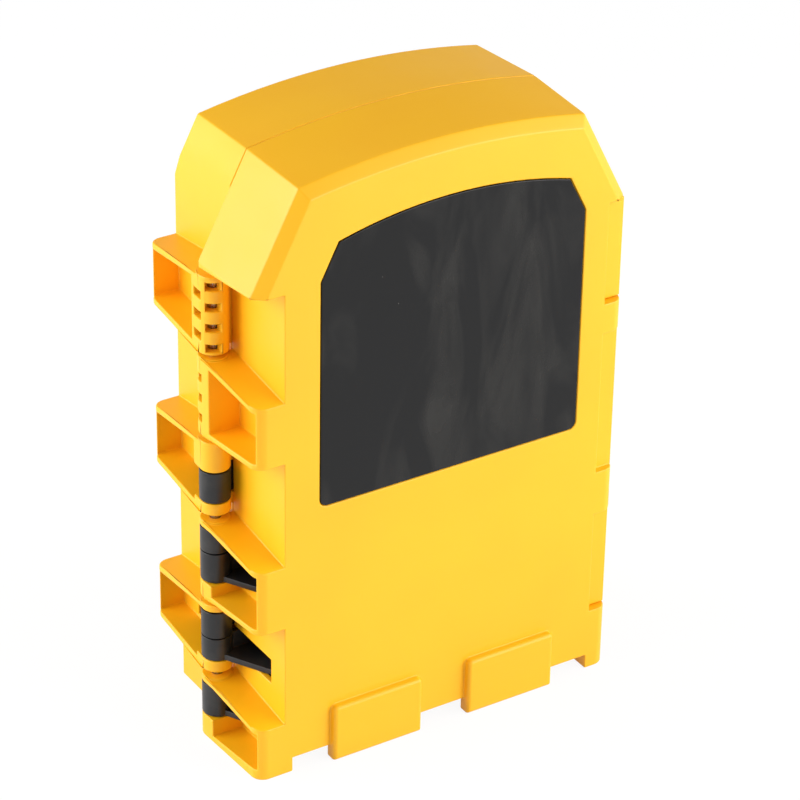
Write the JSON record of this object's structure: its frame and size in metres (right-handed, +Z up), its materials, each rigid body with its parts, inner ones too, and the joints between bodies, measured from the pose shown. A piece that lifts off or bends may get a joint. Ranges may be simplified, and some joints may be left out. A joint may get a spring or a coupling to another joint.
{
  "type": "bit case",
  "caption": "Upright yellow plastic bit case whose two shells open like a book on an interleaved side hinge, with black bit racks inside and snap latches.",
  "frame": {"origin": "middle of the footprint, on the surface that the feet stand on, in the parting plane of the shells", "axes": "+Z up, +X from the hinge side to the latch side, +Y to the back, so the face with the label looks along -Y"},
  "size_m": [0.16, 0.0804, 0.246],
  "materials": {
    "yellow_plastic": "moulded satin",
    "black_plastic": "moulded satin",
    "label_gloss": "gloss",
    "pin_steel": "drawn",
    "bit_steel": "phosphated",
    "drill_steel": "rolled"
  },
  "bodies": {
    "rear_case": {"rear_shell": "yellow_plastic", "hinge_pin": "pin_steel", "lower_latch_pin": "pin_steel", "upper_latch_pin": "pin_steel"},
    "front_case": {"front_shell": "yellow_plastic", "label_panel": "label_gloss"},
    "front_leaf": {"front_bit_rack": "black_plastic", "cross_tip_bits": "bit_steel", "star_tip_bits": "bit_steel", "slotted_bits": "bit_steel", "hex_key_bits": "bit_steel"},
    "rear_leaf": {"rear_bit_rack": "black_plastic", "twist_drills": "drill_steel", "masonry_drills": "drill_steel", "countersink": "bit_steel", "nut_drivers": "bit_steel", "long_driver_bits": "bit_steel", "bit_holder": "bit_steel", "flat_wood_bits": "bit_steel"},
    "lower_latch": {"lower_latch": "yellow_plastic"},
    "upper_latch": {"upper_latch": "yellow_plastic"}
  },
  "joints": [
    {"name": "lid_hinge", "type": "hinge", "parent": "rear_case", "child": "front_case", "pos_m": [-0.0742, 0, 0.1], "axis": [0, 0, -1], "range_deg": [0, 180]},
    {"name": "front_leaf_hinge", "type": "hinge", "parent": "rear_case", "child": "front_leaf", "pos_m": [-0.0742, 0, 0.05], "axis": [0, 0, -1], "range_deg": [0, 108]},
    {"name": "rear_leaf_hinge", "type": "hinge", "parent": "rear_case", "child": "rear_leaf", "pos_m": [-0.0742, 0, 0.08], "axis": [0, 0, -1], "range_deg": [0, 72]},
    {"name": "lower_latch_hinge", "type": "hinge", "parent": "rear_case", "child": "lower_latch", "pos_m": [0.0742, 0.012, 0.0481], "axis": [0, 0, 1], "range_deg": [0, 100]},
    {"name": "upper_latch_hinge", "type": "hinge", "parent": "rear_case", "child": "upper_latch", "pos_m": [0.0742, 0.012, 0.1813], "axis": [0, 0, 1], "range_deg": [0, 100]}
  ],
  "couplings": [
    {"joint": "front_leaf_hinge", "follows": "lid_hinge", "ratio": 0.6},
    {"joint": "rear_leaf_hinge", "follows": "lid_hinge", "ratio": 0.4}
  ]
}
